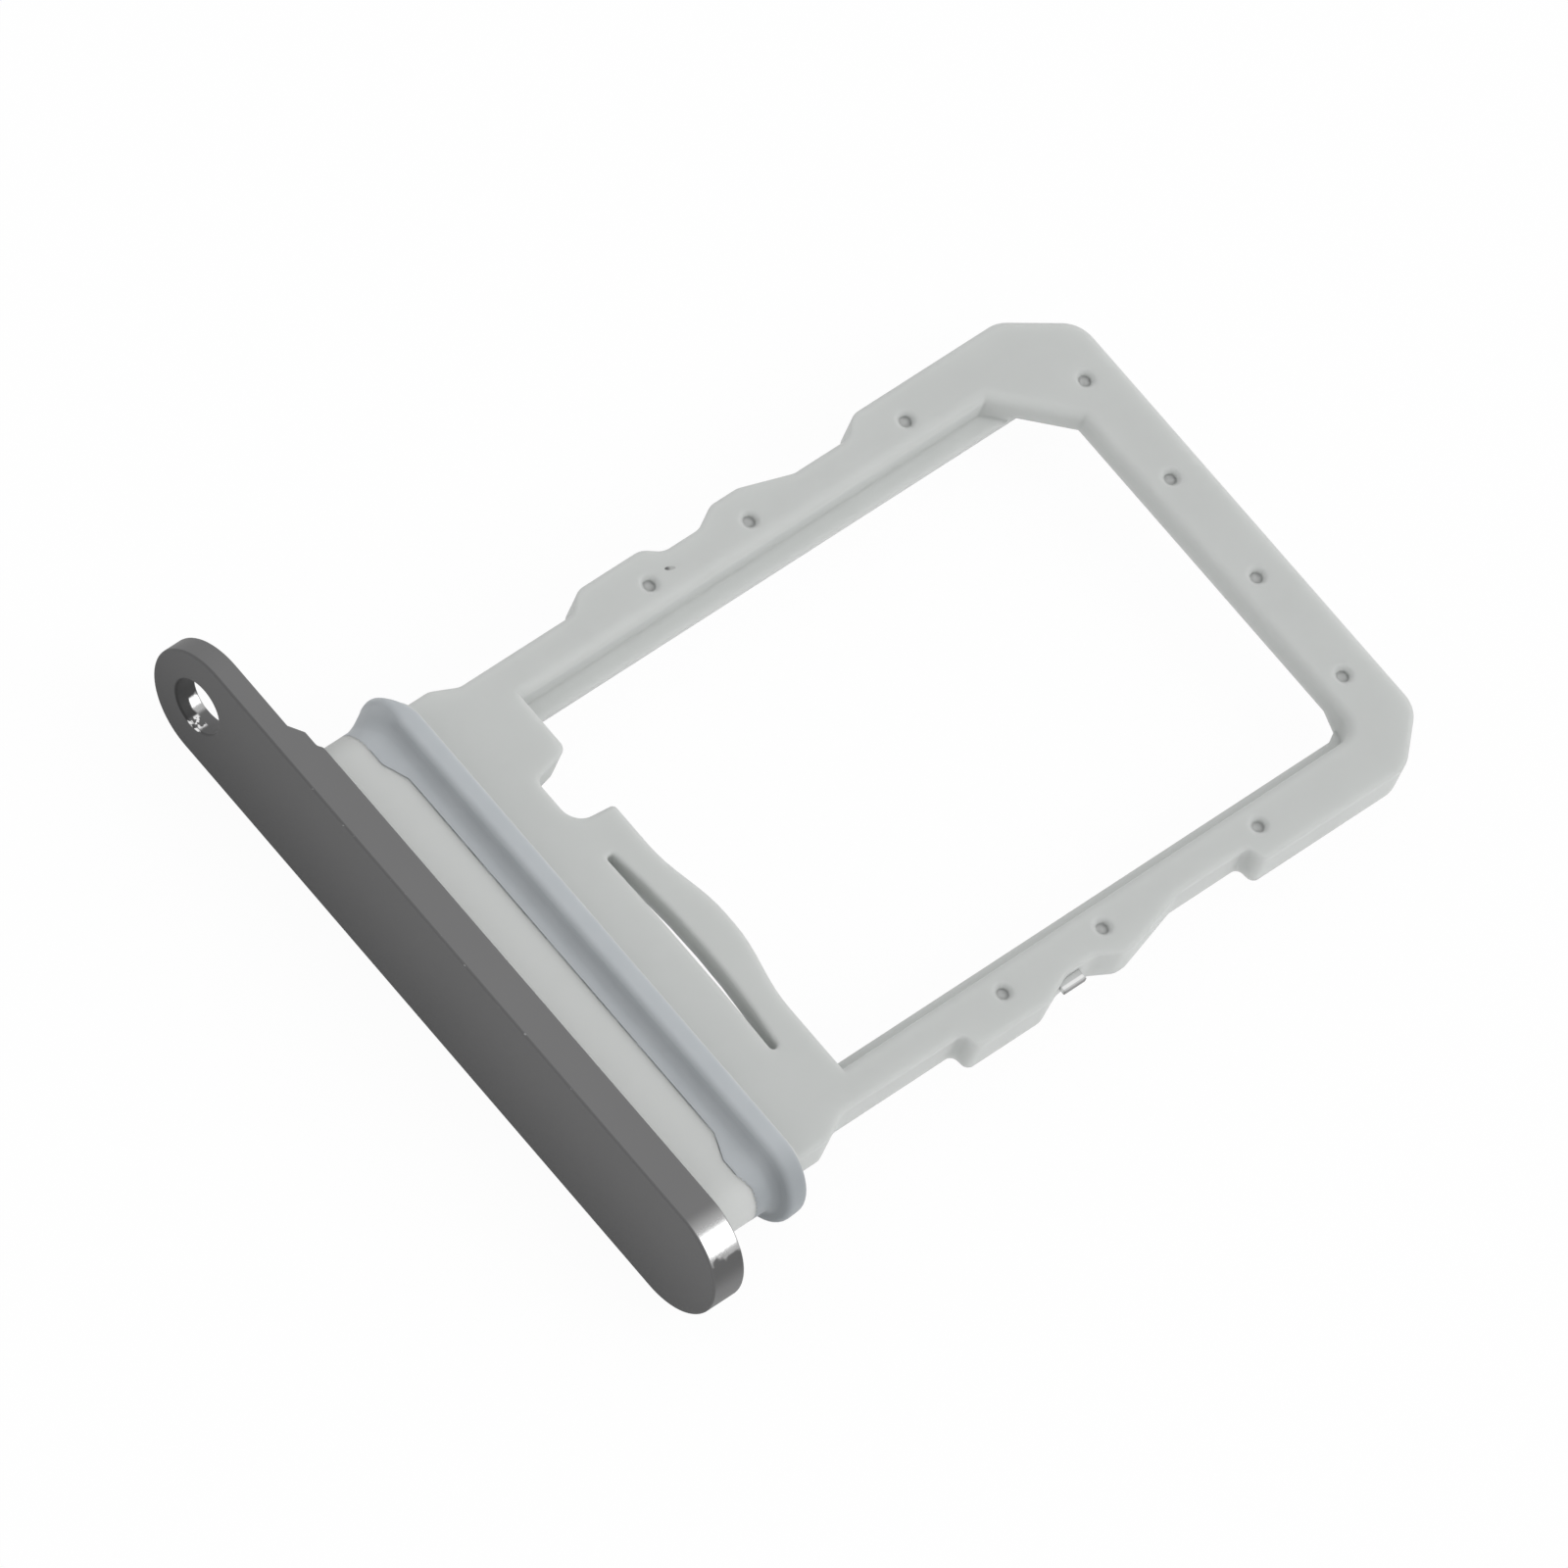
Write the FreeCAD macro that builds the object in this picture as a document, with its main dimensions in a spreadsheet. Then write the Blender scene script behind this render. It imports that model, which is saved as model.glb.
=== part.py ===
import FreeCAD, Part
import os
import Sketcher

# SIM card tray for a phone, in millimetres.
# X runs along the bezel, Y from the bezel's front face into the phone, Z up, out of the card pocket.
# The pieces are drawn about the middle of the bezel's front face. Their placements then move them so that
# the origin lies at the middle of the underside of the whole tray.

DRIVING_SIZES = (
    ("bezel_length", "15.54", "whole length of the pill-shaped bezel"),
    ("bezel_height", "2.5", "height of the bezel, which is twice its end radius"),
    ("bezel_depth", "0.74", "depth of the bezel where the neck joins it"),
    ("bezel_edge_round", "0.04", "broken edge round the front and the rear of the bezel"),
    ("ear_depth", "0.47", "depth of the bezel's thin end, round the pin hole"),
    ("ear_length", "2.72", "length of the thin end, from the tip of the bezel"),
    ("ear_ramp_length", "0.28", "length of the ramp from the thin end up to the shelf"),
    ("ear_shelf_depth", "0.66", "depth of the small shelf between the thin end and the full depth"),
    ("ear_shelf_length", "0.32", "length of that shelf"),
    ("ear_step_length", "0.1", "length of the step from the shelf to the full depth"),
    ("pin_hole_radius", "0.56", "radius of the hole for the ejector pin"),
    ("pin_hole_from_tip", "1.16", "middle of that hole, from the tip of the bezel"),
    ("pin_hole_chamfer", "0.05", "chamfer at the mouth of the pin hole"),
    ("neck_offset", "1.08", "middle of the neck and frame, to the right of the bezel's middle"),
    ("neck_width", "11.52", "width of the neck that fills the slot in the phone"),
    ("neck_height", "1.3", "height of the neck, which is twice its end radius"),
    ("neck_rib", "0.08", "rib of the neck behind the seal"),
    ("seal_front", "1.97", "front edge of the seal's skirt, from the bezel's front face"),
    ("seal_front_at_ends", "1.75", "front edge of the skirt near its two ends"),
    ("seal_step_inset", "1.5", "how far from the neck's end the skirt steps forward"),
    ("seal_step_length", "0.5", "length of that step"),
    ("seal_rear", "2.9", "rear edge of the seal"),
    ("seal_seat_depth", "0.15", "depth of the seat that the seal lies in"),
    ("seal_tip_front", "1.87", "front edge of the skirt round its right tip"),
    ("seal_tip_length", "0.65", "length of that set-back tip"),
    ("seal_tip_slope", "0.37", "length of the slope where the front edge sets back"),
    ("seal_lip_height", "0.39", "height of the lip over the neck"),
    ("seal_lip_length", "0.56", "length of the lip at its foot"),
    ("seal_lip_lean", "0.02", "how far the lip's front leans back"),
    ("seal_lip_slope", "0.12", "length of the slope behind the lip's crest"),
    ("seal_crest_drop", "0.03", "fall of the crest from its front edge to its rear edge"),
    ("seal_foot_round", "0.18", "hollow rounding between the skirt and the lip"),
    ("seal_front_round", "0.13", "rounding of the crest's front edge"),
    ("seal_rear_round", "0.1", "rounding of the crest's rear edge"),
    ("frame_top", "0.5", "top face of the frame, over the bezel's middle"),
    ("frame_thickness", "0.8", "thickness of the side rails and the neck's plate"),
    ("thin_thickness", "0.5", "thickness of the far rail and the spring beam"),
    ("frame_end", "18.73", "outer face of the far rail"),
    ("pocket_width", "8.95", "width of the card pocket: a nano-SIM card is 8.8 wide"),
    ("pocket_near", "4.87", "near edge of the card pocket"),
    ("far_rail_width", "1.21", "width of the far rail, from the card pocket to the outer face"),
    ("pocket_depth", "0.65", "depth of the card pocket down to its ledges"),
    ("pocket_chamfer", "1.285", "chamfered corner of the pocket, for the cut corner of the card"),
    ("pocket_corner_round", "0.4", "round corner of the pocket at the far right"),
    ("thin_part_gap", "0.05", "gap from the right ledge to the slope where the far rail gets thinner"),
    ("thin_part_slope", "0.45", "length of that slope"),
    ("left_ledge", "0.38", "width of the left card ledge"),
    ("right_ledge", "0.27", "width of the right card ledge"),
    ("bump_wall", "1.095", "plastic beside the pocket at the rails' bumps"),
    ("left_waist_wall", "0.755", "the same between the bumps of the left rail"),
    ("right_waist_wall", "0.715", "the same between the bumps of the right rail"),
    ("hollow_wall", "0.835", "the same in the hollow between the near and middle bumps"),
    ("shoulder_wall", "0.995", "the same at the shoulders behind the seal"),
    ("left_shoulder_length", "0.6", "length of the left shoulder, behind the seal"),
    ("right_shoulder_length", "0.85", "length of the right shoulder"),
    ("shoulder_ramp", "0.55", "length of the shoulders' ramp down to the rails"),
    ("left_near_bump_start", "6.8", "first bump of the left rail"),
    ("left_near_bump_length", "2.25", "length of that bump"),
    ("left_hollow_length", "0.85", "length of the hollow between the first bump and the second"),
    ("left_mid_bump_length", "2.25", "length of the second bump"),
    ("left_waist_length", "1.35", "gap before the third bump, which runs to the far corner"),
    ("right_near_bump_start", "7.2", "first bump of the right rail"),
    ("right_near_bump_length", "2.44", "length of that bump"),
    ("right_hollow_length", "0.69", "length of the hollow between the first bump and the second"),
    ("right_mid_bump_length", "2.17", "length of the second bump"),
    ("right_waist_length", "1.68", "gap before the third bump, which runs to the far corner"),
    ("bump_ramp", "0.35", "length of the left bumps' short ramps"),
    ("right_near_ramp", "0.62", "length of the ramp behind the right rail's first bump"),
    ("mid_bump_ramp", "0.5", "length of the ramp before the middle bumps"),
    ("left_long_ramp", "1.1", "length of the long ramp behind the left middle bump"),
    ("right_long_ramp", "1.42", "length of the long ramp behind the right middle bump"),
    ("bump_step", "0.04", "length of the steep ramp before the right rail's near and far bumps"),
    ("bump_round", "0.4", "rounding of the bumps' corners"),
    ("step_round", "0.16", "rounding of the corners at the steep ramps"),
    ("far_corner_width", "0.86", "width of the frame's cut outer corners"),
    ("left_corner_length", "1.32", "length of the left cut corner"),
    ("right_corner_length", "0.98", "length of the right cut corner"),
    ("far_corner_round", "0.65", "rounding of the cut outer corners"),
    ("notch_left", "3.2", "left side of the notch at its mouth, from the frame's middle line"),
    ("notch_right", "1.86", "right side of the notch at its mouth"),
    ("notch_bottom_left", "3.01", "left side of the notch at its bottom"),
    ("notch_bottom_right", "1.94", "right side of the notch at its bottom"),
    ("notch_depth", "0.88", "depth of the notch, from the pocket's near edge"),
    ("notch_left_round", "0.2", "round corners on the left of the notch"),
    ("notch_right_round", "0.42", "round corner at the right of its bottom"),
    ("notch_lip_round", "0.1", "round corner at the right of its mouth"),
    ("slot_offset", "1.13", "left end of the slot behind the spring beam, from the frame's middle line"),
    ("slot_length", "4.65", "length of the slot"),
    ("slot_inset", "0.82", "ends of the slot's near side, from the pocket's near edge"),
    ("slot_front_rise", "0.04", "rise of the near side over its ends"),
    ("slot_end_width", "0.17", "width of the slot at its ends"),
    ("slot_rise", "0.18", "rise of the slot's far side over its ends"),
    ("slot_corner_round", "0.08", "round corners of the slot's ends"),
    ("slot_edge_round", "0.06", "rounded top edge of the slot's far side"),
    ("beam_bulge", "0.28", "how far the spring beam bulges into the pocket"),
    ("beam_bulge_offset", "0.55", "foot of the bulge, from the left end of the slot"),
    ("beam_bulge_length", "3.3", "length of the bulge at its foot"),
    ("beam_crest_length", "0.9", "length of the bulge's crest"),
    ("beam_bulge_round", "3", "rounding of the bulge"),
    ("dimple_radius", "0.125", "radius of the dimples at their bottom"),
    ("dimple_depth", "0.13", "depth of the dimples"),
    ("dimple_chamfer", "0.07", "chamfer round the dimples' mouths"),
    ("dimple_wall", "0.475", "side dimples, from the pocket's wall"),
    ("near_dimple", "8.41", "first pair of side dimples, from the bezel's front face"),
    ("middle_dimple", "10.84", "second pair of side dimples"),
    ("far_side_dimple", "14.66", "third pair of side dimples"),
    ("end_dimple_inset", "0.68", "row of dimples in the far rail, from its outer face"),
    ("end_dimple_first", "3.78", "first dimple of that row, to the left of the frame's middle line"),
    ("end_dimple_pitch", "2.417", "spacing of that row"),
    ("pocket_edge_round", "0.2", "rounded lead-in at the top of the pocket's walls"),
    ("insert_thickness", "0.12", "thickness of the stamped steel insert"),
    ("insert_cover", "0.2", "plastic over the insert"),
    ("insert_skin", "0.09", "plastic outside the insert where the rails are narrowest"),
    ("insert_rail_width", "0.42", "width of the insert in the rails"),
    ("insert_near_margin", "1.02", "end of the insert's plate in the neck, from the pocket's near edge"),
    ("insert_far_skin", "0.33", "plastic outside the insert in the far rail"),
    ("insert_far_width", "0.65", "width of the insert in the far rail"),
    ("insert_corner", "0.9", "cut corners of the insert"),
    ("insert_tongue_depth", "0.3", "how deep the insert's tongue sits in the bezel"),
    ("insert_tongue_width", "8.4", "width of that tongue"),
    ("insert_tab_offset", "0.095", "middle of the tab, behind the end of the right rail's first bump"),
    ("insert_tab_width", "0.53", "width of that tab"),
    ("insert_tab_inset", "0.04", "how far the tab stays inside the bumps' reach"),
)


class Length:
    """A length in millimetres, kept with the expression that binds it to the sheet."""

    def __init__(self, text, number):
        self.text = text
        self.number = number

    def combine(self, sign, other, result):
        other_text = other.text if isinstance(other, Length) else repr(other)
        return Length(f"({self.text} {sign} {other_text})", result)

    def __add__(self, other):
        return self.combine("+", other, self.number + plain(other))

    def __sub__(self, other):
        return self.combine("-", other, self.number - plain(other))

    def __mul__(self, other):
        return self.combine("*", other, self.number * plain(other))

    def __truediv__(self, other):
        return self.combine("/", other, self.number / plain(other))

    def __neg__(self):
        return Length(f"(-1 * {self.text})", -self.number)


def plain(value):
    """The number in a length, or the number itself."""
    return value.number if isinstance(value, Length) else value


document = FreeCAD.newDocument("sim_card_tray")
sheet = document.addObject("Spreadsheet::Sheet", "sizes")
size = {}
for row, (alias, value, meaning) in enumerate(DRIVING_SIZES, start=1):
    sheet.set(f"A{row}", alias)
    sheet.set(f"B{row}", value)
    sheet.set(f"C{row}", meaning)
    sheet.setAlias(f"B{row}", alias)
    size[alias] = Length(f"sizes.{alias}", float(value))
document.recompute()

ZERO = Length("0", 0.0)
bezel_end = size["bezel_length"] / 2
frame_bottom = size["frame_top"] - size["frame_thickness"]
thin_bottom = size["frame_top"] - size["thin_thickness"]
middle = size["neck_offset"]
half_pocket = size["pocket_width"] / 2
pocket_left = middle - half_pocket
pocket_right = middle + half_pocket
pocket_near = size["pocket_near"]
far_edge = size["frame_end"]
pocket_far = far_edge - size["far_rail_width"]
reach = half_pocket + size["bump_wall"]
right_near_bump_end = size["right_near_bump_start"] + size["right_near_bump_length"]
opening_left = pocket_left + size["left_ledge"]
opening_right = pocket_right - size["right_ledge"]
insert_top = size["frame_top"] - size["insert_cover"]
insert_bottom = insert_top - size["insert_thickness"]
seal_seat_radius = size["neck_height"] / 2 - size["seal_seat_depth"]


def new_body(name):
    """A body that carries the shift from the drawing's origin to the middle of the tray's underside."""
    body = document.addObject("PartDesign::Body", name)
    body.Label = name
    body.setExpression("Placement.Base.y", "-sizes.frame_end / 2")
    body.setExpression("Placement.Base.z", "sizes.bezel_height / 2")
    return body


def new_sketch(body, name, role, offset=ZERO):
    """A sketch on one of the body's own planes, moved along the plane's normal."""
    sketch = body.newObject("Sketcher::SketchObject", name)
    plane = [item for item in body.Origin.OriginFeatures if item.Role == role][0]
    sketch.AttachmentSupport = (plane, [""])
    sketch.MapMode = "FlatFace"
    sketch.setExpression("AttachmentOffset.Base.z", offset.text)
    return sketch


def pin_down(sketch, edge, point, x, y):
    """Hold one point of an edge at x, y from the sketch's origin."""
    for kind, value in (("DistanceX", x), ("DistanceY", y)):
        number = sketch.addConstraint(Sketcher.Constraint(kind, -1, 1, edge, point, value.number))
        sketch.setExpression(f"Constraints[{number}]", value.text)


def draw_polygon(sketch, corners):
    """A closed outline of straight lines through the corners."""
    first = sketch.GeometryCount
    vectors = [FreeCAD.Vector(x.number, y.number, 0) for x, y in corners]
    for start, end in zip(vectors, vectors[1:] + vectors[:1]):
        sketch.addGeometry(Part.LineSegment(start, end), False)
    for number, (x, y) in enumerate(corners):
        before = first + (number - 1) % len(corners)
        sketch.addConstraint(Sketcher.Constraint("Coincident", before, 2, first + number, 1))
        pin_down(sketch, first + number, 1, x, y)


def draw_box(sketch, left, right, near, far):
    """A rectangle."""
    draw_polygon(sketch, [(left, near), (right, near), (right, far), (left, far)])


def draw_circle(sketch, x, y, radius):
    """A circle held by its centre and radius."""
    centre = FreeCAD.Vector(x.number, y.number, 0)
    circle = Part.Circle(centre, FreeCAD.Vector(0, 0, 1), radius.number)
    edge = sketch.addGeometry(circle, False)
    pin_down(sketch, edge, 3, x, y)
    number = sketch.addConstraint(Sketcher.Constraint("Radius", edge, radius.number))
    sketch.setExpression(f"Constraints[{number}]", radius.text)


def draw_pill(sketch, centre, width, radius):
    """A pill: two half circles joined by two level lines."""
    reach = width / 2 - radius
    first = sketch.GeometryCount
    up = FreeCAD.Vector(0, radius.number, 0)
    ends = [FreeCAD.Vector((centre + reach).number, 0, 0), FreeCAD.Vector((centre - reach).number, 0, 0)]
    tips = [FreeCAD.Vector(radius.number, 0, 0), FreeCAD.Vector(-radius.number, 0, 0)]
    sketch.addGeometry(Part.Arc(ends[0] - up, ends[0] + tips[0], ends[0] + up), False)
    sketch.addGeometry(Part.LineSegment(ends[0] + up, ends[1] + up), False)
    sketch.addGeometry(Part.Arc(ends[1] + up, ends[1] + tips[1], ends[1] - up), False)
    sketch.addGeometry(Part.LineSegment(ends[1] - up, ends[0] - up), False)
    for edge in range(4):
        sketch.addConstraint(Sketcher.Constraint("Tangent", first + edge, 2, first + (edge + 1) % 4, 1))
    pin_down(sketch, first, 3, centre + reach, ZERO)
    pin_down(sketch, first + 2, 3, centre - reach, ZERO)
    number = sketch.addConstraint(Sketcher.Constraint("Radius", first, radius.number))
    sketch.setExpression(f"Constraints[{number}]", radius.text)


def grow(body, kind, sketch, length, reverse=False):
    """A pad or a pocket of a given length from a sketch."""
    feature = body.newObject(f"PartDesign::{kind}", f"{sketch.Name}_{kind.lower()}")
    feature.Profile = sketch
    feature.setExpression("Length", length.text)
    feature.Reversed = reverse
    sketch.Visibility = False
    document.recompute()
    return feature


def cut_right_through(body, sketch):
    """A pocket that goes through the whole piece, both ways from its sketch."""
    feature = body.newObject("PartDesign::Pocket", f"{sketch.Name}_pocket")
    feature.Profile = sketch
    feature.Type = 1
    feature.Midplane = True
    document.recompute()
    return feature


def upright_edges(shape, spots):
    """Names of the upright edges that stand at the given x, y spots."""
    names = []
    for number, edge in enumerate(shape.Edges, start=1):
        ends = [vertex.Point for vertex in edge.Vertexes]
        if len(ends) != 2 or (ends[0] - ends[1]).cross(FreeCAD.Vector(0, 0, 1)).Length > 1e-6:
            continue
        for x, y in spots:
            if abs(ends[0].x - x.number) < 1e-4 and abs(ends[0].y - y.number) < 1e-4:
                names.append(f"Edge{number}")
    return names


def loop_edges(shape, place, radius):
    """Names of the edges of the pill-shaped loop with the given end radius, in the plane y = place."""
    names = []
    for number, edge in enumerate(shape.Edges, start=1):
        box = edge.BoundBox
        in_plane = abs(box.YMin - place.number) < 1e-4 and abs(box.YMax - place.number) < 1e-4
        if in_plane and abs(max(abs(box.ZMin), abs(box.ZMax)) - radius.number) < 1e-4:
            names.append(f"Edge{number}")
    return names


def dress(body, kind, names, value):
    """A fillet or a chamfer on named edges of the body's newest feature."""
    base = body.Tip
    feature = body.newObject(f"PartDesign::{kind}", f"{base.Name}_{kind.lower()}")
    feature.Base = (base, names)
    feature.setExpression("Radius" if kind == "Fillet" else "Size", value.text)
    document.recompute()
    return feature


# The bezel: anodised aluminium, milled, with the ejector pin's hole in its thin left end.
bezel = new_body("bezel")
bezel_face = new_sketch(bezel, "bezel_face", "XZ_Plane")
draw_pill(bezel_face, ZERO, size["bezel_length"], size["bezel_height"] / 2)
grow(bezel, "Pad", bezel_face, size["bezel_depth"], reverse=True)

ear_x = size["ear_length"] - bezel_end
shelf_x = ear_x + size["ear_ramp_length"]
full_x = shelf_x + size["ear_shelf_length"]
clear = size["bezel_depth"]
ear_cut = new_sketch(bezel, "ear_cut", "XY_Plane")
draw_polygon(ear_cut, [
    (-bezel_end - clear, size["ear_depth"]),
    (ear_x, size["ear_depth"]),
    (shelf_x, size["ear_shelf_depth"]),
    (full_x, size["ear_shelf_depth"]),
    (full_x + size["ear_step_length"], size["bezel_depth"]),
    (full_x + size["ear_step_length"], size["bezel_depth"] + clear),
    (-bezel_end - clear, size["bezel_depth"] + clear),
])
cut_right_through(bezel, ear_cut)

hole_x = size["pin_hole_from_tip"] - bezel_end
pin_hole = new_sketch(bezel, "pin_hole", "XZ_Plane")
draw_circle(pin_hole, hole_x, ZERO, size["pin_hole_radius"])
cut_right_through(bezel, pin_hole)

tongue_left = middle - size["insert_tongue_width"] / 2
tongue_right = middle + size["insert_tongue_width"] / 2
tongue_front = size["bezel_depth"] - size["insert_tongue_depth"]
tongue_slot = new_sketch(bezel, "tongue_slot", "XZ_Plane", -size["bezel_depth"])
draw_box(tongue_slot, tongue_left, tongue_right, insert_bottom, insert_top)
grow(bezel, "Pocket", tongue_slot, size["insert_tongue_depth"], reverse=True)

hole_edges = [
    f"Edge{number}" for number, edge in enumerate(bezel.Tip.Shape.Edges, start=1)
    if edge.BoundBox.YMax < 1e-5 and abs(edge.BoundBox.ZLength - 2 * plain(size["pin_hole_radius"])) < 1e-3
]
dress(bezel, "Chamfer", hole_edges, size["pin_hole_chamfer"])
rim_edges = [
    f"Edge{number}" for number, edge in enumerate(bezel.Tip.Shape.Edges, start=1)
    if edge.BoundBox.YMax < 1e-5 and edge.BoundBox.DiagonalLength > plain(size["bezel_height"]) * 0.9
]
dress(bezel, "Fillet", rim_edges, size["bezel_edge_round"])

# The insert: stamped stainless sheet that stiffens the frame. Its tongue sits in the bezel.
metal_insert = new_body("metal_insert")
rail_out = half_pocket + size["right_waist_wall"] - size["insert_skin"]
rail_in = rail_out - size["insert_rail_width"]
tab_out = middle + reach - size["insert_tab_inset"]
tab_near = right_near_bump_end + size["insert_tab_offset"] - size["insert_tab_width"] / 2
tab_far = tab_near + size["insert_tab_width"]
plate_far = far_edge - size["insert_far_skin"]
window_near = pocket_near - size["insert_near_margin"]
window_far = plate_far - size["insert_far_width"]
corner = size["insert_corner"]
insert_plan = new_sketch(metal_insert, "insert_plan", "XY_Plane", insert_bottom)
draw_polygon(insert_plan, [
    (tongue_left, tongue_front),
    (tongue_right, tongue_front),
    (tongue_right, size["bezel_depth"]),
    (middle + rail_out, size["bezel_depth"]),
    (middle + rail_out, tab_near),
    (tab_out, tab_near),
    (tab_out, tab_far),
    (middle + rail_out, tab_far),
    (middle + rail_out, plate_far - corner),
    (middle + rail_out - corner, plate_far),
    (middle - rail_out + corner, plate_far),
    (middle - rail_out, plate_far - corner),
    (middle - rail_out, size["bezel_depth"]),
    (tongue_left, size["bezel_depth"]),
])
insert_chamfer = size["pocket_chamfer"]
draw_polygon(insert_plan, [
    (middle - rail_in, window_near),
    (middle + rail_in, window_near),
    (middle + rail_in, window_far),
    (middle - rail_in + insert_chamfer, window_far),
    (middle - rail_in, window_far - insert_chamfer),
])
grow(metal_insert, "Pad", insert_plan, size["insert_thickness"])

# The seal: a silicone ring moulded round the neck, a thin skirt with a raised lip behind it.
seal_ring = new_body("seal_ring")
skirt = new_sketch(seal_ring, "skirt", "XZ_Plane", -size["seal_front_at_ends"])
draw_pill(skirt, middle, size["neck_width"], size["neck_height"] / 2)
inner_width = size["neck_width"] - size["seal_seat_depth"] * 2
draw_pill(skirt, middle, inner_width, seal_seat_radius)
grow(seal_ring, "Pad", skirt, size["seal_rear"] - size["seal_front_at_ends"], reverse=True)

neck_end = size["neck_width"] / 2
step_out = neck_end - size["seal_step_inset"] + size["seal_step_length"]
step_in = neck_end - size["seal_step_inset"]
skirt_front = new_sketch(seal_ring, "skirt_front", "XY_Plane")
draw_polygon(skirt_front, [
    (middle - step_out, size["seal_front_at_ends"]),
    (middle - step_in, size["seal_front"]),
    (middle + step_in, size["seal_front"]),
    (middle + step_out, size["seal_front_at_ends"]),
    (middle + step_out, size["bezel_depth"]),
    (middle - step_out, size["bezel_depth"]),
])
tip_start = middle + neck_end - size["seal_tip_length"]
draw_polygon(skirt_front, [
    (tip_start, size["seal_front_at_ends"]),
    (tip_start + size["seal_tip_slope"], size["seal_tip_front"]),
    (middle + neck_end, size["seal_tip_front"]),
    (middle + neck_end, size["bezel_depth"]),
    (tip_start, size["bezel_depth"]),
])
cut_right_through(seal_ring, skirt_front)

lip_front = size["seal_rear"] - size["seal_lip_length"]
lip_rear = size["seal_rear"] - size["seal_lip_slope"]
lip_path = new_sketch(seal_ring, "lip_path", "XZ_Plane", -lip_rear)
draw_pill(lip_path, middle, size["neck_width"], size["neck_height"] / 2)
neck_top = size["neck_height"] / 2
lip_top = neck_top + size["seal_lip_height"]
lip_root = neck_top - size["seal_seat_depth"] / 2
crest_front = lip_front + size["seal_lip_lean"]
crest_rear_top = lip_top - size["seal_crest_drop"]
lip_profile = new_sketch(seal_ring, "lip_profile", "YZ_Plane", middle)
draw_polygon(lip_profile, [
    (lip_front, lip_root),
    (lip_front, neck_top),
    (crest_front, lip_top),
    (lip_rear, crest_rear_top),
    (size["seal_rear"], neck_top),
    (size["seal_rear"], lip_root),
])
lip = seal_ring.newObject("PartDesign::AdditivePipe", "lip")
lip.Profile = lip_profile
lip.Spine = (lip_path, ["Edge1", "Edge2", "Edge3", "Edge4"])
document.recompute()
lip_roundings = [
    (crest_front, lip_top, "seal_front_round"),
    (lip_rear, crest_rear_top, "seal_rear_round"),
    (lip_front, neck_top, "seal_foot_round"),
]
for place, radius, rounding in lip_roundings:
    dress(seal_ring, "Fillet", loop_edges(seal_ring.Tip.Shape, place, radius), size[rounding])

# The frame: light grey plastic, moulded in one with its spring beam.
frame_body = new_body("frame_body")
neck = new_sketch(frame_body, "neck", "XZ_Plane", -size["bezel_depth"])
draw_pill(neck, middle, size["neck_width"], size["neck_height"] / 2)
neck_rear = size["seal_rear"] + size["neck_rib"]
grow(frame_body, "Pad", neck, neck_rear - size["bezel_depth"], reverse=True)

hollow = half_pocket + size["hollow_wall"]
shoulder = half_pocket + size["shoulder_wall"]
left_waist = half_pocket + size["left_waist_wall"]
right_waist = half_pocket + size["right_waist_wall"]
ramp = size["bump_ramp"]
mid_ramp = size["mid_bump_ramp"]
step = size["bump_step"]
right_mid_start = right_near_bump_end + size["right_hollow_length"]
right_mid_end = right_mid_start + size["right_mid_bump_length"]
right_far_start = right_mid_end + size["right_waist_length"]
right_shoulder_end = size["seal_rear"] + size["right_shoulder_length"]
left_near_start = size["left_near_bump_start"]
left_near_end = left_near_start + size["left_near_bump_length"]
left_mid_start = left_near_end + size["left_hollow_length"]
left_mid_end = left_mid_start + size["left_mid_bump_length"]
left_far_start = left_mid_end + size["left_waist_length"]
left_shoulder_end = size["seal_rear"] + size["left_shoulder_length"]
right_steps = [
    (right_waist, size["right_near_bump_start"]),
    (reach, size["right_near_bump_start"] + step),
    (right_waist, right_far_start),
    (reach, right_far_start + step),
]
right_bumps = [
    (shoulder, right_shoulder_end),
    (right_waist, right_shoulder_end + size["shoulder_ramp"]),
    (reach, right_near_bump_end - size["right_near_ramp"]),
    (hollow, right_near_bump_end),
    (hollow, right_mid_start),
    (reach, right_mid_start + mid_ramp),
    (reach, right_mid_end - size["right_long_ramp"]),
    (right_waist, right_mid_end),
]
left_bumps = [
    (shoulder, left_shoulder_end),
    (left_waist, left_shoulder_end + size["shoulder_ramp"]),
    (left_waist, left_near_start),
    (reach, left_near_start + ramp),
    (reach, left_near_end - ramp),
    (hollow, left_near_end),
    (hollow, left_mid_start),
    (reach, left_mid_start + mid_ramp),
    (reach, left_mid_end - size["left_long_ramp"]),
    (left_waist, left_mid_end),
    (left_waist, left_far_start),
    (reach, left_far_start + ramp),
]
cut_corners = []
for side, name in ((1, "right_corner_length"), (-1, "left_corner_length")):
    cut_corners.append((middle + reach * side, far_edge - size[name]))
    cut_corners.append((middle + (reach - size["far_corner_width"]) * side, far_edge))
steps = [(middle + x, y) for x, y in right_steps]
bumps = [(middle + x, y) for x, y in right_bumps] + [(middle - x, y) for x, y in left_bumps]
right_side = sorted(steps + bumps[:len(right_bumps)], key=lambda corner: corner[1].number)
left_side = bumps[len(right_bumps):]
outline = [(middle + shoulder, size["seal_rear"])] + right_side + cut_corners[:2]
outline += cut_corners[:1:-1] + left_side[::-1] + [(middle - shoulder, size["seal_rear"])]
plan = new_sketch(frame_body, "plan", "XY_Plane", frame_bottom)
draw_polygon(plan, outline)
grow(frame_body, "Pad", plan, size["frame_thickness"])
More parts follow.
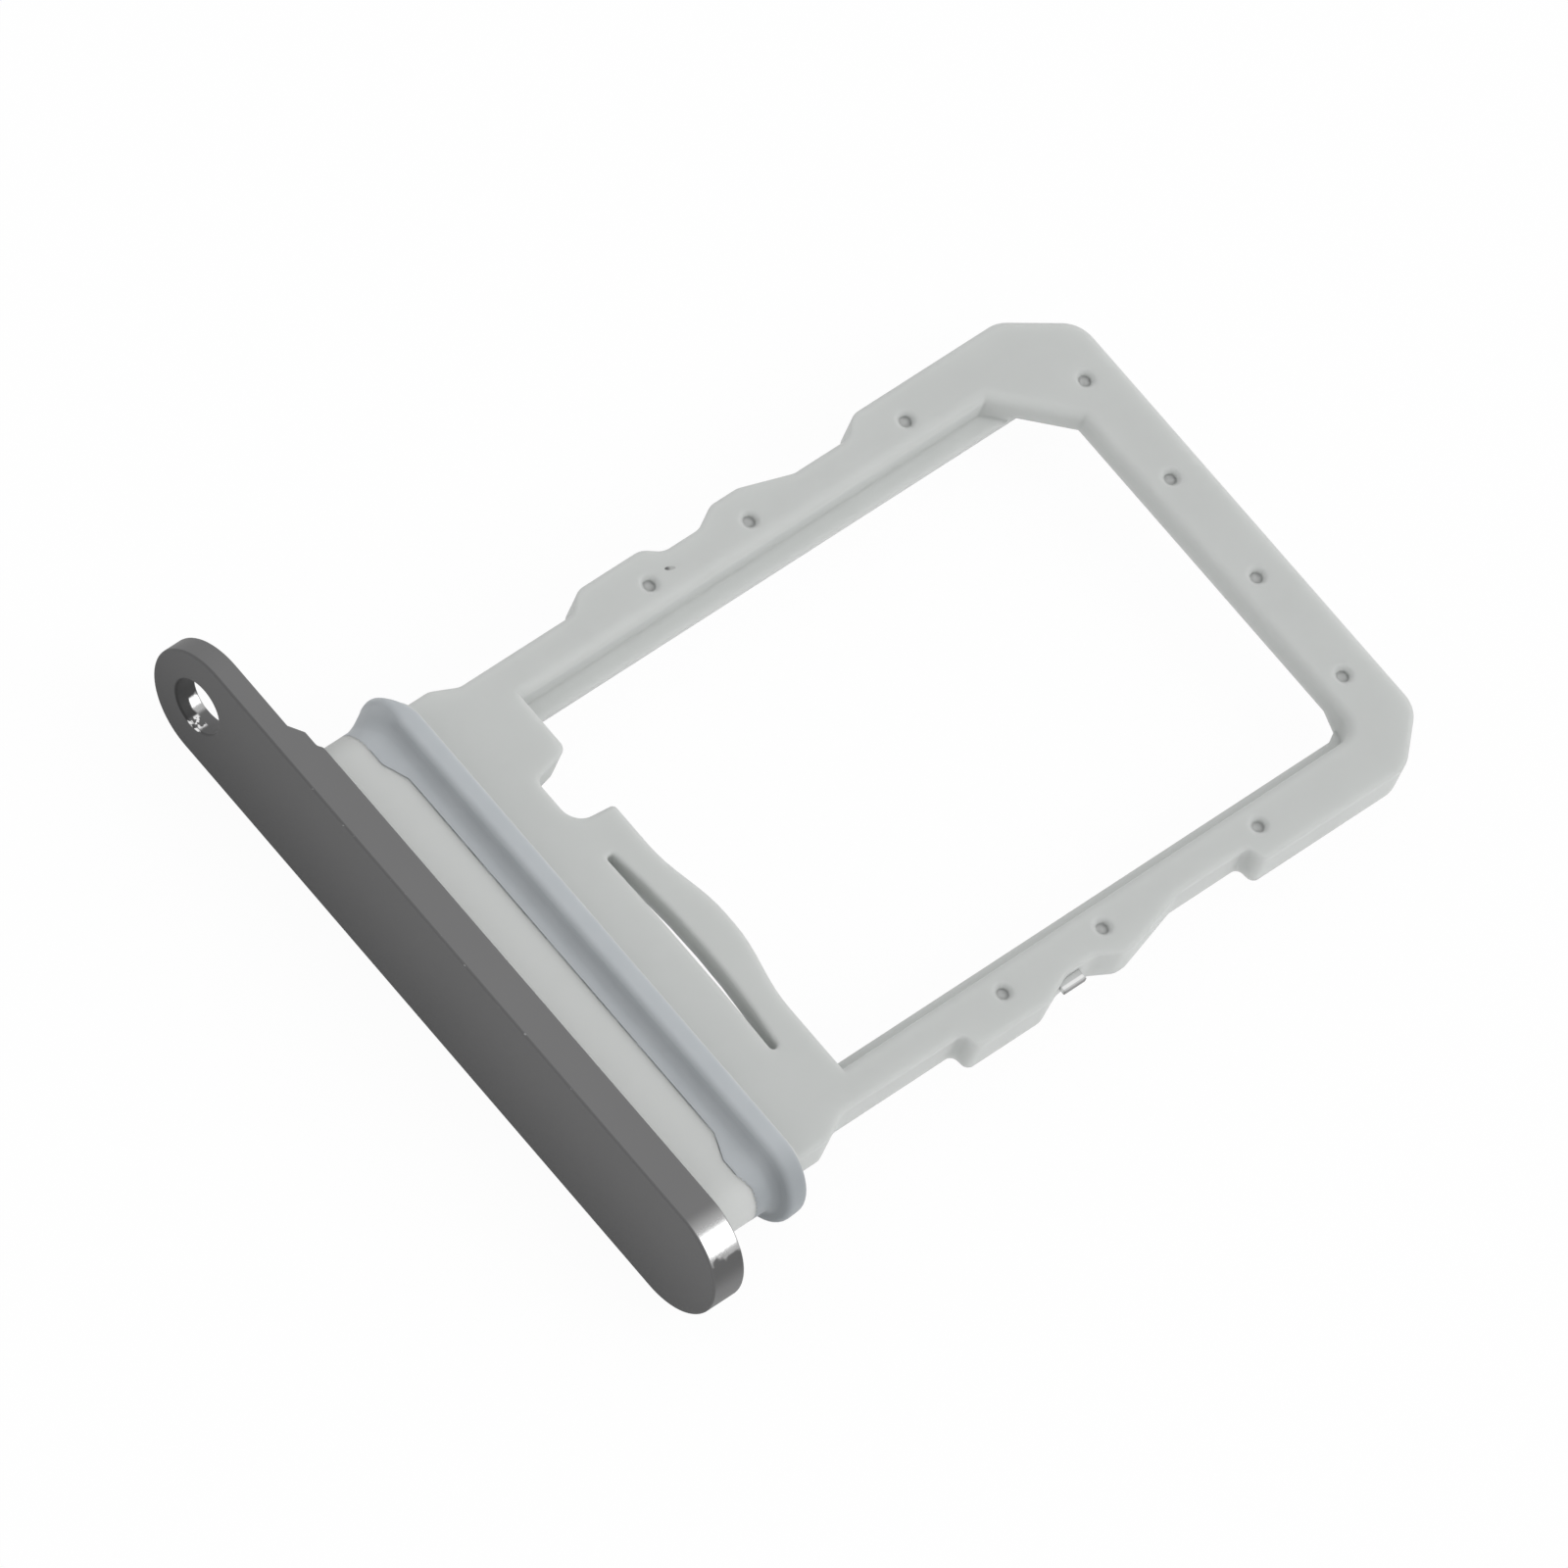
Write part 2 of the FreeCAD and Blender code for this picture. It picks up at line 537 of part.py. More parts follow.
for corners, rounding in ((steps, "step_round"), (bumps, "bump_round"), (cut_corners, "far_corner_round")):
    dress(frame_body, "Fillet", upright_edges(frame_body.Tip.Shape, corners), size[rounding])

# The card pocket, with the cut corner of the card at the far left.
chamfer = size["pocket_chamfer"]
pocket = new_sketch(frame_body, "pocket", "XY_Plane", size["frame_top"])
draw_polygon(pocket, [
    (pocket_left, pocket_near),
    (pocket_right, pocket_near),
    (pocket_right, pocket_far),
    (pocket_left + chamfer, pocket_far),
    (pocket_left, pocket_far - chamfer),
])
grow(frame_body, "Pocket", pocket, size["pocket_depth"])
far_right = [(pocket_right, pocket_far)]
dress(frame_body, "Fillet", upright_edges(frame_body.Tip.Shape, far_right), size["pocket_corner_round"])

# The opening between the ledges goes right through. Its far and chamfered sides are the pocket's own walls.
opening = new_sketch(frame_body, "opening", "XY_Plane", size["frame_top"])
chamfer_at_ledge = pocket_far - chamfer + size["left_ledge"]
draw_polygon(opening, [
    (opening_left, pocket_near),
    (opening_right, pocket_near),
    (opening_right, pocket_far - size["pocket_corner_round"] * 0.6),
    (pocket_right - size["pocket_corner_round"], pocket_far),
    (pocket_left + chamfer, pocket_far),
    (opening_left, chamfer_at_ledge),
])
cut_right_through(frame_body, opening)

# The notch beside the spring beam, and the slot behind the beam.
notch = new_sketch(frame_body, "notch", "XY_Plane", size["frame_top"])
notch_bottom = pocket_near - size["notch_depth"]
notch_corners = [
    (middle - size["notch_left"], pocket_near),
    (middle - size["notch_bottom_left"], notch_bottom),
    (middle - size["notch_bottom_right"], notch_bottom),
    (middle - size["notch_right"], pocket_near),
]
draw_polygon(notch, notch_corners)
cut_right_through(frame_body, notch)
notch_roundings = ("notch_left_round", "notch_left_round", "notch_right_round", "notch_lip_round")
for corner, rounding in zip(notch_corners, notch_roundings):
    dress(frame_body, "Fillet", upright_edges(frame_body.Tip.Shape, [corner]), size[rounding])

slot = new_sketch(frame_body, "slot", "XY_Plane", size["frame_top"])
slot_start = middle - size["slot_offset"]
slot_end = slot_start + size["slot_length"]
slot_front = pocket_near - size["slot_inset"]
slot_side = slot_front + size["slot_end_width"]
slot_corners = [
    (slot_start, slot_front),
    (slot_end, slot_front),
    (slot_end, slot_side),
    (slot_start, slot_side),
]
slot_vectors = [FreeCAD.Vector(x.number, y.number, 0) for x, y in slot_corners]
half_slot = size["slot_length"] / 2
for edge, rise in enumerate((size["slot_front_rise"], None, size["slot_rise"], None)):
    start, end = slot_vectors[edge], slot_vectors[(edge + 1) % 4]
    if rise is None:
        slot.addGeometry(Part.LineSegment(start, end), False)
    else:
        crown = (start + end) / 2 + FreeCAD.Vector(0, rise.number, 0)
        slot.addGeometry(Part.Arc(start, crown, end), False)
# A sketch keeps every arc anticlockwise, so the near side's arc starts at its right end.
for edge, point, other, other_point in ((0, 1, 1, 1), (1, 2, 2, 1), (2, 2, 3, 1), (3, 2, 0, 2)):
    slot.addConstraint(Sketcher.Constraint("Coincident", edge, point, other, other_point))
for line in (1, 3):
    pin_down(slot, line, 1, *slot_corners[line])
    pin_down(slot, line, 2, *slot_corners[(line + 1) % 4])
for arc, rise in ((0, size["slot_front_rise"]), (2, size["slot_rise"])):
    radius = (half_slot * half_slot / rise + rise) / 2
    number = slot.addConstraint(Sketcher.Constraint("Radius", arc, radius.number))
    slot.setExpression(f"Constraints[{number}]", radius.text)
cut_right_through(frame_body, slot)
dress(frame_body, "Fillet", upright_edges(frame_body.Tip.Shape, slot_corners), size["slot_corner_round"])
top = size["frame_top"].number
slot_crown = (slot_side + size["slot_rise"]).number
slot_rim = [
    f"Edge{number}" for number, edge in enumerate(frame_body.Tip.Shape.Edges, start=1)
    if abs(edge.BoundBox.ZMin - top) < 1e-5 and abs(edge.BoundBox.YMax - slot_crown) < 1e-4
]
dress(frame_body, "Fillet", slot_rim, size["slot_edge_round"])

# The far rail and the spring beam are thinner: their undersides are cut back.
# On the right the far rail's underside slopes down to the full thickness.
recess_depth = size["frame_thickness"] - size["thin_thickness"]
beam_recess = new_sketch(frame_body, "beam_recess", "XY_Plane", frame_bottom)
draw_box(beam_recess, slot_start, slot_end, slot_side, pocket_near + size["beam_bulge"])
grow(frame_body, "Pocket", beam_recess, recess_depth, reverse=True)
slope_end = opening_right - size["thin_part_gap"]
recess_near = chamfer_at_ledge - chamfer
rail_recess = new_sketch(frame_body, "rail_recess", "XZ_Plane", -recess_near)
draw_polygon(rail_recess, [
    (opening_left, frame_bottom - recess_depth),
    (slope_end + size["thin_part_slope"], frame_bottom - recess_depth),
    (slope_end - size["thin_part_slope"], thin_bottom),
    (opening_left, thin_bottom),
])
grow(frame_body, "Pocket", rail_recess, far_edge + chamfer - recess_near)

# The bulge of the spring beam, which presses on the edge of the card.
bulge = new_sketch(frame_body, "bulge", "XY_Plane", thin_bottom)
bulge_start = slot_start + size["beam_bulge_offset"]
bulge_end = bulge_start + size["beam_bulge_length"]
bulge_top = pocket_near + size["beam_bulge"]
bulge_slope = (size["beam_bulge_length"] - size["beam_crest_length"]) / 2
bulge_root = pocket_near - size["beam_bulge"] / 2
bulge_feet = [(bulge_start, pocket_near), (bulge_end, pocket_near)]
bulge_crest = [(bulge_start + bulge_slope, bulge_top), (bulge_end - bulge_slope, bulge_top)]
draw_polygon(bulge, [
    (bulge_start, bulge_root),
    (bulge_end, bulge_root),
    bulge_feet[1],
    bulge_crest[1],
    bulge_crest[0],
    bulge_feet[0],
])
grow(frame_body, "Pad", bulge, size["thin_thickness"])
bulge_edges = upright_edges(frame_body.Tip.Shape, bulge_feet + bulge_crest)
dress(frame_body, "Fillet", bulge_edges, size["beam_bulge_round"])

# The pocket's walls have a rounded lead-in for the card, but not its near side.
lead_in = []
for number, edge in enumerate(frame_body.Tip.Shape.Edges, start=1):
    box = edge.BoundBox
    on_top = abs(box.ZMin - top) < 1e-5 and abs(box.ZMax - top) < 1e-5
    in_pocket = box.XMin > pocket_left.number - 1e-4 and box.XMax < pocket_right.number + 1e-4
    past_near = box.YMax > pocket_near.number + 1
    if on_top and in_pocket and past_near and box.YMax < pocket_far.number + 1e-4:
        lead_in.append(f"Edge{number}")
dress(frame_body, "Fillet", lead_in, size["pocket_edge_round"])

# The dimples are shallow hollows over the insert, left by the pins that held it in the mould.
side_dimples = new_sketch(frame_body, "side_dimples", "XY_Plane", size["frame_top"])
dimple_reach = half_pocket + size["dimple_wall"]
for side in (dimple_reach, -dimple_reach):
    for place in ("near_dimple", "middle_dimple", "far_side_dimple"):
        draw_circle(side_dimples, middle + side, size[place], size["dimple_radius"])
grow(frame_body, "Pocket", side_dimples, size["dimple_depth"])
end_dimples = new_sketch(frame_body, "end_dimples", "XY_Plane", size["frame_top"])
for number in range(4):
    x = middle - size["end_dimple_first"] + size["end_dimple_pitch"] * number
    draw_circle(end_dimples, x, far_edge - size["end_dimple_inset"], size["dimple_radius"])
grow(frame_body, "Pocket", end_dimples, size["dimple_depth"])
dimple_width = plain(size["dimple_radius"]) * 2
mouths = []
for number, edge in enumerate(frame_body.Tip.Shape.Edges, start=1):
    box = edge.BoundBox
    if edge.Closed and abs(box.ZMin - top) < 1e-5 and abs(box.XLength - dimple_width) < 1e-3:
        mouths.append(f"Edge{number}")
dress(frame_body, "Chamfer", mouths, size["dimple_chamfer"])

# The plastic is moulded round the insert and under the seal, so it has their shapes cut out of it.
embedded = document.addObject("Part::MultiFuse", "embedded")
embedded.Shapes = [seal_ring, metal_insert]
tray_frame = document.addObject("Part::Cut", "tray_frame")
tray_frame.Base = frame_body
tray_frame.Tool = embedded
tray_frame.Label = "tray_frame"
document.recompute()

for item in document.Objects:
    if "Invalid" in item.State or "Error" in item.State:
        raise RuntimeError(f"{item.Name} is {item.State}")
os.makedirs("parts", exist_ok=True)
for piece in (bezel, tray_frame, seal_ring, metal_insert):
    if piece.Shape.isNull() or not piece.Shape.isValid():
        raise RuntimeError(f"{piece.Label} has no valid shape")
    print(piece.Label, "solids", len(piece.Shape.Solids), "volume", round(piece.Shape.Volume, 4))
    piece.Shape.exportStep(f"parts/{piece.Label}.step")
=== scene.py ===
import bmesh
import bpy
import math
from mathutils import Matrix, Vector


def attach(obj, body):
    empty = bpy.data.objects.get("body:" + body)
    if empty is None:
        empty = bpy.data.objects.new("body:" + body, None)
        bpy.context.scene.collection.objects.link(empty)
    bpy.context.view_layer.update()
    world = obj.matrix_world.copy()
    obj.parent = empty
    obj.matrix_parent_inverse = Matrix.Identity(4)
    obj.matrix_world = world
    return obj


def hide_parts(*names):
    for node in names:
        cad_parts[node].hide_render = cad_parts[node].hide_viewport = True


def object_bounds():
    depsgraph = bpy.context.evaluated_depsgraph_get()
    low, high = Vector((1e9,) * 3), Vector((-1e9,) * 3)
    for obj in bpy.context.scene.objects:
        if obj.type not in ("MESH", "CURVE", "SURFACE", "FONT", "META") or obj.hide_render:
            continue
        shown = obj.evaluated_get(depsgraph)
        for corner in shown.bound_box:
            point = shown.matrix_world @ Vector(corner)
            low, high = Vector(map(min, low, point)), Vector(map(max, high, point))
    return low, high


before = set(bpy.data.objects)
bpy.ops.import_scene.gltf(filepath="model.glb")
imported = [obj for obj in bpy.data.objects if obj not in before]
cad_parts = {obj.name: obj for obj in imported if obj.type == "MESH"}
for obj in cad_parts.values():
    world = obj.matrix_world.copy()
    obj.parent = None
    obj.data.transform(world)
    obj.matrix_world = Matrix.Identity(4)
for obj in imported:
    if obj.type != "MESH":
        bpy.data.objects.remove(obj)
cad_low, cad_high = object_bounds()
MM = 0.001


# The bezel: the pill-shaped end of the tray, milled from aluminium and anodised dark grey.
# Its flat faces are blasted to a fine satin, and its rounded right end is left polished.
# The eject pin's hole goes through its thin left ear.
class Maths:
    """A number in a material's node tree. Python's operators on it add Math nodes."""

    def __init__(self, tree, socket):
        self.tree = tree
        self.socket = socket

    def node(self, kind, settings=(), **inputs):
        """Any other node: its settings first, then the values or links of its sockets. Gives the node."""
        made = self.tree.nodes.new("ShaderNode" + kind)
        for name, value in dict(settings).items():
            setattr(made, name, value)
        for name, value in inputs.items():
            socket = made.inputs[int(name[1:])] if name[1:].isdigit() else made.inputs[name.replace("_", " ")]
            if isinstance(value, Maths):
                self.tree.links.new(value.socket, socket)
            else:
                socket.default_value = value
        return made

    def take(self, kind, output, settings=(), **inputs):
        """The same, but gives one output of the node, to reckon with."""
        return Maths(self.tree, self.node(kind, settings, **inputs).outputs[output])

    def reckon(self, operation, first, second):
        return self.take("Math", 0, {"operation": operation}, _0=first, _1=second)

    def __add__(self, other):
        return self.reckon("ADD", self, other)

    def __sub__(self, other):
        return self.reckon("SUBTRACT", self, other)

    def __mul__(self, other):
        return self.reckon("MULTIPLY", self, other)

    def __rsub__(self, other):
        return self.reckon("SUBTRACT", other, self)

    __radd__ = __add__
    __rmul__ = __mul__

    def between(self, start, end):
        """Rises smoothly from 0 at start to 1 at end."""
        return self.take("MapRange", 0, {"interpolation_type": "SMOOTHSTEP"},
                         Value=self, From_Min=start, From_Max=end)

    def axis(self, number):
        """One coordinate of a place, in metres."""
        return self.take("SeparateXYZ", number, Vector=self)

    def grain(self, size):
        """Noise at a place, with spots of about the given size in metres, from 0 to 1."""
        return self.take("TexNoise", 0, Vector=self, Scale=1.0 / size, Detail=2.0)

    def away_from(self, x, y, z):
        """How far a place is from a point given in millimetres."""
        return self.take("VectorMath", "Value", {"operation": "DISTANCE"},
                         _0=self, _1=(x * MM, y * MM, z * MM))

    def blend(self, first, second):
        """The colour that lies this share of the way from the first colour to the second."""
        return self.take("Mix", 2, {"data_type": "RGBA"}, _0=self, _6=first, _7=second)

    def soft_edges(self, radius):
        """The normal of a surface whose edges and corners are rounded off to a radius."""
        return self.take("Bevel", 0, {"samples": 8}, Radius=radius)

    def dents(self, depth, strength, **normal):
        """A normal that this height bends."""
        return self.take("Bump", 0, Strength=strength, Distance=depth, Height=self, **normal)


def new_material(name):
    """A material with a Principled shader, and the place on the piece in Object coordinates."""
    material = bpy.data.materials.new(name)
    material.use_nodes = True
    tree = material.node_tree
    return material, tree.nodes["Principled BSDF"], Maths(tree, None).take("TexCoord", "Object")


def feed(shader, **inputs):
    """Values or links for the sockets of a Principled shader."""
    for name, value in inputs.items():
        socket = shader.inputs[name.replace("_", " ")]
        if isinstance(value, Maths):
            shader.id_data.links.new(value.socket, socket)
        else:
            socket.default_value = value


sharp_turn = math.radians(35)


def round_edges(piece, width, segments):
    """Rounds every edge of a piece that turns by more than the sharp turn."""
    rounding = piece.modifiers.new("rounding", "BEVEL")
    rounding.width = width
    rounding.segments = segments
    rounding.limit_method = "ANGLE"
    rounding.angle_limit = sharp_turn
    rounding.harden_normals = True


def stand_for(piece, node, material):
    """Puts a piece in the place of its CAD node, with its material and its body."""
    piece.data.materials.clear()
    piece.data.materials.append(material)
    bpy.context.scene.collection.objects.link(piece)
    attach(piece, "root")
    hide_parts(node)


def drawn_piece(name, shape):
    """A piece from a shape in millimetres, whose origin is the middle of the bezel's front face."""
    for face in shape.faces:
        face.smooth = True
    bmesh.ops.scale(shape, verts=shape.verts, vec=(MM, MM, MM))
    bmesh.ops.translate(shape, verts=shape.verts, vec=(0.0, bezel_front * MM, bezel_round * MM))
    mesh = bpy.data.meshes.new(name)
    shape.to_mesh(mesh)
    shape.free()
    return bpy.data.objects.new(name, mesh)


bezel_half, bezel_round, bezel_depth, bezel_front = 7.766, 1.25, 0.74, -9.365
pin_x, pin_radius, ring_spread, edge_round = -6.61, 0.56, 1.3, 0.05
shape = bmesh.new()
corners = []
for x, z in ((bezel_half - bezel_round, -bezel_round), (bezel_round - bezel_half, bezel_round)):
    corners.append(shape.verts.new((x, 0.0, z)))
    spun = bmesh.ops.spin(shape, geom=[corners[-1]], cent=(x, 0.0, 0.0), axis=(0.0, -1.0, 0.0),
                          angle=math.pi, steps=40)
    corners.append(spun["geom_last"][0])
shape.edges.new((corners[1], corners[2]))
shape.edges.new((corners[3], corners[0]))
bmesh.ops.contextual_create(shape, geom=shape.edges[:])
# The back of the left ear is milled away in two sloped steps, which leave these depths at these places.
ear_steps = ((-5.05, 0.47), (-4.77, 0.66), (-4.45, 0.66), (-4.35, bezel_depth))
for x, depth in ear_steps:
    bmesh.ops.bisect_plane(shape, geom=shape.verts[:] + shape.edges[:] + shape.faces[:], dist=1e-5,
                           plane_co=(x, 0.0, 0.0), plane_no=(1.0, 0.0, 0.0))
ear = min(shape.faces, key=lambda face: face.calc_center_median().x)
rim = ear.edges[:]
bmesh.ops.delete(shape, geom=[ear], context="FACES_ONLY")
hole = bmesh.ops.create_circle(shape, segments=64, radius=pin_radius)["verts"]
bmesh.ops.rotate(shape, verts=hole, matrix=Matrix.Rotation(math.pi / 2, 3, "X"))
bmesh.ops.translate(shape, verts=hole, vec=(pin_x, 0.0, 0.0))
# A narrow ring of faces lies round the hole, so that its mouth rounds off cleanly.
hole_edges = list(dict.fromkeys(edge for vert in hole for edge in vert.link_edges))
ringed = bmesh.ops.extrude_edge_only(shape, edges=hole_edges)["geom"]
bmesh.ops.scale(shape, verts=[item for item in ringed if isinstance(item, bmesh.types.BMVert)],
                vec=(ring_spread, 1.0, ring_spread), space=Matrix.Translation((-pin_x, 0.0, 0.0)))
ring_edges = [item for item in ringed if isinstance(item, bmesh.types.BMEdge)]
bmesh.ops.triangle_fill(shape, edges=rim + ring_edges, use_beauty=True, normal=(0.0, -1.0, 0.0))
pushed = bmesh.ops.extrude_face_region(shape, geom=shape.faces[:])["geom"]
for vert in [item for item in pushed if isinstance(item, bmesh.types.BMVert)]:
    vert.co.y = next((depth for x, depth in ear_steps if vert.co.x <= x + 1e-4), bezel_depth)
bmesh.ops.recalc_face_normals(shape, faces=shape.faces)
bezel = drawn_piece("bezel_visual", shape)
round_edges(bezel, edge_round * MM, 4)

anodised, shader, place = new_material("anodised_grey_aluminium")
side_greys = (0.168, 0.168, 0.169, 1.0), (0.186, 0.186, 0.187, 1.0)
front_shade_greys = (0.088, 0.088, 0.089, 1.0), (0.135, 0.135, 0.136, 1.0)
end_shade, bore_shade = (0.02, 0.02, 0.02, 1.0), (0.03, 0.03, 0.03, 1.0)
bare_metal, glint_white = (0.5, 0.5, 0.5, 1.0), (0.95, 0.95, 0.95, 1.0)
speckle, cloud, ragged, pocks = (place.grain(size * MM) for size in (0.03, 2.5, 0.25, 0.12))
x, y, z = (place.axis(number) for number in range(3))
# Painted shade makes the front darker than the sides, most of all low down and to the left.
front = 1.0 - y.between((bezel_front + 0.02) * MM, (bezel_front + edge_round) * MM)
painted_front_light = z.between(0.0, 2.4 * MM) * 0.65 + x.between(-7.7 * MM, 3.0 * MM) * 0.35
tone = front.blend(cloud.blend(*side_greys), painted_front_light.blend(*front_shade_greys))
# The right end is polished down to a ragged border, and a painted dark reflection makes it darkest just below
# it.
border = x + ragged * (0.3 * MM)
end_polish = x.between(6.5 * MM, 7.0 * MM) * (1.0 - border.between(7.51 * MM, 7.58 * MM)) * (1.0 - front)
below_border = x.between(7.0 * MM, 7.5 * MM) * (1.0 - front)
tone = (below_border * z.between(1.5 * MM, 1.95 * MM) * 0.42).blend(tone, end_shade)
# The wall of the pin hole is dark at the left, with a polished part deeper in. A few glints show low
# down at its mouth.
flat_place = place.take("Mapping", 0, Vector=place, Scale=(1.0, 0.0, 1.0))
from_axis = flat_place.away_from(pin_x, 0.0, bezel_round)
bore = 1.0 - from_axis.between((pin_radius + 0.02) * MM, (pin_radius + 0.05) * MM)
deep = (y + ragged * (0.1 * MM)).between(-9.11 * MM, -9.07 * MM)
right_part = x.between(-6.72 * MM, -6.62 * MM)
low_mouth = (1.0 - deep) * (1.0 - z.between(0.72 * MM, 0.76 * MM)) * x.between(-6.69 * MM, -6.65 * MM)
glints = bore * low_mouth * pocks.between(0.52, 0.55)
bore_polish = bore * border.between(-6.88 * MM, -6.8 * MM) * deep * (1.0 - right_part) + glints
# The front's top edge is nicked bright in a few places.
nicks = front * z.between(2.44 * MM, 2.48 * MM) * pocks.between(0.7, 0.74)
polish = place.reckon("MAXIMUM", place.reckon("MAXIMUM", end_polish, bore_polish), nicks)
dull = (bore * (0.75 - right_part * 0.7)).blend(tone, bore_shade)
feed(shader, Base_Color=polish.blend(dull, glints.blend(bare_metal, glint_white)),
     Metallic=0.1 + polish * 0.9, Roughness=0.5 + speckle * 0.08 - polish * 0.36,
     Specular_IOR_Level=0.15, Normal=speckle.dents(0.004 * MM, 0.15))
stand_for(bezel, "bezel", anodised)

# The insert: a stamped stainless sheet inside the plastic, laid in the mould before the plastic.
# Only its tab shows, at the right rail.
steel, shader, place = new_material("stamped_stainless_sheet")
sheet_greys = (0.6, 0.61, 0.605, 1.0), (0.68, 0.69, 0.685, 1.0)
cut_grey, highlight_white = (0.26, 0.26, 0.26, 1.0), (0.95, 0.95, 0.95, 1.0)
streaks = place.take("Mapping", 0, Vector=place, Scale=(1.0, 12.0, 1.0)).grain(0.2 * MM)
# The tab is dark where it was sheared off, and a painted highlight runs along it beside that end.
out = place.axis(0)
sheared = out.between(6.58 * MM, 6.6 * MM)
painted_tab_highlight = out.between(6.48 * MM, 6.51 * MM) * (1.0 - out.between(6.55 * MM, 6.57 * MM))
tone = sheared.blend(streaks.blend(*sheet_greys), cut_grey)
feed(shader, Base_Color=painted_tab_highlight.blend(tone, highlight_white), Metallic=1.0, Roughness=0.34 + streaks * 0.1)


def reworked_copy(node, name):
    """A copy of a CAD node: its loose triangles merged, its flat faces joined, its curves smooth."""
    piece = bpy.data.objects.new(name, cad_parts[node].data.copy())
    shape = bmesh.new()
    shape.from_mesh(piece.data)
    bmesh.ops.remove_doubles(shape, verts=shape.verts, dist=1e-7)
    bmesh.ops.dissolve_limit(shape, angle_limit=math.radians(1.0), use_dissolve_boundaries=False,
                             verts=shape.verts, edges=shape.edges)
    for face in shape.faces:
        face.smooth = True
    shape.to_mesh(piece.data)
    shape.free()
    for layer in [layer.name for layer in piece.data.attributes if layer.name.startswith("custom_normal")]:
        piece.data.attributes.remove(piece.data.attributes[layer])
    piece.data.set_sharp_from_angle(angle=sharp_turn)
    return piece


insert = reworked_copy("metal_insert", "insert_visual")
round_edges(insert, 0.02 * MM, 2)
stand_for(insert, "metal_insert", steel)

# The seal: one silicone ring moulded round the neck, a thin skirt with a raised lip behind it.
# The lip is what the phone's slot squeezes. The skirt reaches further forward at both ends. Its
# front edge lies 0.03 mm under the rounded edge of the plastic.
seal_x, seal_half, skirt_radius, neck_radius = 1.08, 5.76, 0.65, 0.5
skirt_front, lip_front, seal_back = 1.94, 2.34, 2.9
reach = seal_half - skirt_radius
shape = bmesh.new()
outline = ((skirt_front, neck_radius), (skirt_front, skirt_radius), (lip_front, skirt_radius),
           (2.36, 1.04), (2.78, 1.01), (seal_back, skirt_radius), (seal_back, neck_radius))
ring = [shape.verts.new((seal_x + reach, y, z)) for y, z in outline]
for first, second in zip(ring, ring[1:] + ring[:1]):
    shape.edges.new((first, second))
# The lip's foot is hollowed, and the front and the back of its crest are rounded.
for corner, offset in zip(ring[2:5], (0.16, 0.13, 0.07)):
    bmesh.ops.bevel(shape, geom=[corner], offset=offset, offset_type="OFFSET", segments=6, profile=0.5,
                    affect="VERTICES", material=-1)
# The straight parts are cut twice near each end, where the skirt's front edge turns forward.
near_end = (0.35, 0.5)
profile = shape.edges[:]
for side in (1.0, -1.0):
    turned = bmesh.ops.spin(shape, geom=profile, cent=(seal_x + side * reach, 0.0, 0.0),
                            axis=(0.0, 1.0, 0.0), angle=math.pi, steps=24)["geom_last"]
    profile = [item for item in turned if isinstance(item, bmesh.types.BMEdge)]
    for step in (*near_end, 2 * (reach - sum(near_end)), *reversed(near_end)):
        drawn = bmesh.ops.extrude_edge_only(shape, edges=profile)["geom"]
        profile = [item for item in drawn if isinstance(item, bmesh.types.BMEdge)]
        drawn_verts = [item for item in drawn if isinstance(item, bmesh.types.BMVert)]
        bmesh.ops.translate(shape, verts=drawn_verts, vec=(-side * step, 0.0, 0.0))
bmesh.ops.remove_doubles(shape, verts=shape.verts, dist=1e-4)
# From turn_start outwards the skirt's front edge lies at turned_front, and at the right tip it slopes
# back again. Behind skirt_middle all is the lip, and crest_middle parts its front from its back.
turn_start, turned_front, tip_back, tip_slope = 4.5, 1.72, 0.12, 0.37
skirt_middle, crest_middle = 2.0, 2.6
# Round the ends the lip loses a share of its height, most of all at the left, where its front also
# rises in a long slope, the front of its crest lies further back and its back further forward.
right_loss, left_loss = 0.08, 0.18
slope_length, slope_height, crest_shift, back_shift = 0.4, 0.3, 0.1, 0.13
for vert in shape.verts:
    out = vert.co.x - seal_x
    past = abs(out) - reach
    height = math.hypot(past, vert.co.z) - skirt_radius
    if vert.co.y < skirt_middle and abs(out) > turn_start:
        vert.co.y = turned_front + tip_back * min(max(out - reach, 0.0) / tip_slope, 1.0)
    if out < 0.0 < past and height > -1e-4 and vert.co.y > skirt_middle:
        if vert.co.y < crest_middle:
            forward = slope_length * max(1.0 - height / slope_height, 0.0) - crest_shift
        else:
            forward = back_shift
        vert.co.y -= forward * min(past / skirt_radius, 1.0)
    if past > 0.0 and height > 0.0:
        loss = right_loss if out > 0.0 else left_loss
        vert.co.x -= math.copysign(loss, out) * height * past / skirt_radius
bmesh.ops.recalc_face_normals(shape, faces=shape.faces)
seal = drawn_piece("seal_visual", shape)
round_edges(seal, 0.02 * MM, 3)

silicone, shader, place = new_material("pale_silicone")
seal_greys = (0.455, 0.483, 0.505, 1.0), (0.495, 0.52, 0.54, 1.0)
tip_shade_grey = (0.2, 0.22, 0.235, 1.0)
mottle, fine = place.grain(0.6 * MM), place.grain(0.05 * MM)
# The right tip is darkened by painted shade.
painted_tip_shade = place.axis(0).between(6.1 * MM, 6.9 * MM) * 0.5
feed(shader, Base_Color=painted_tip_shade.blend(mottle.blend(*seal_greys), tip_shade_grey),
     Roughness=0.5 + fine * 0.1, Normal=fine.dents(0.004 * MM, 0.2), Specular_IOR_Level=0.3,
     Subsurface_Weight=0.5, Subsurface_Radius=(1.0, 1.0, 1.0), Subsurface_Scale=0.2 * MM)
stand_for(seal, "seal_ring", silicone)
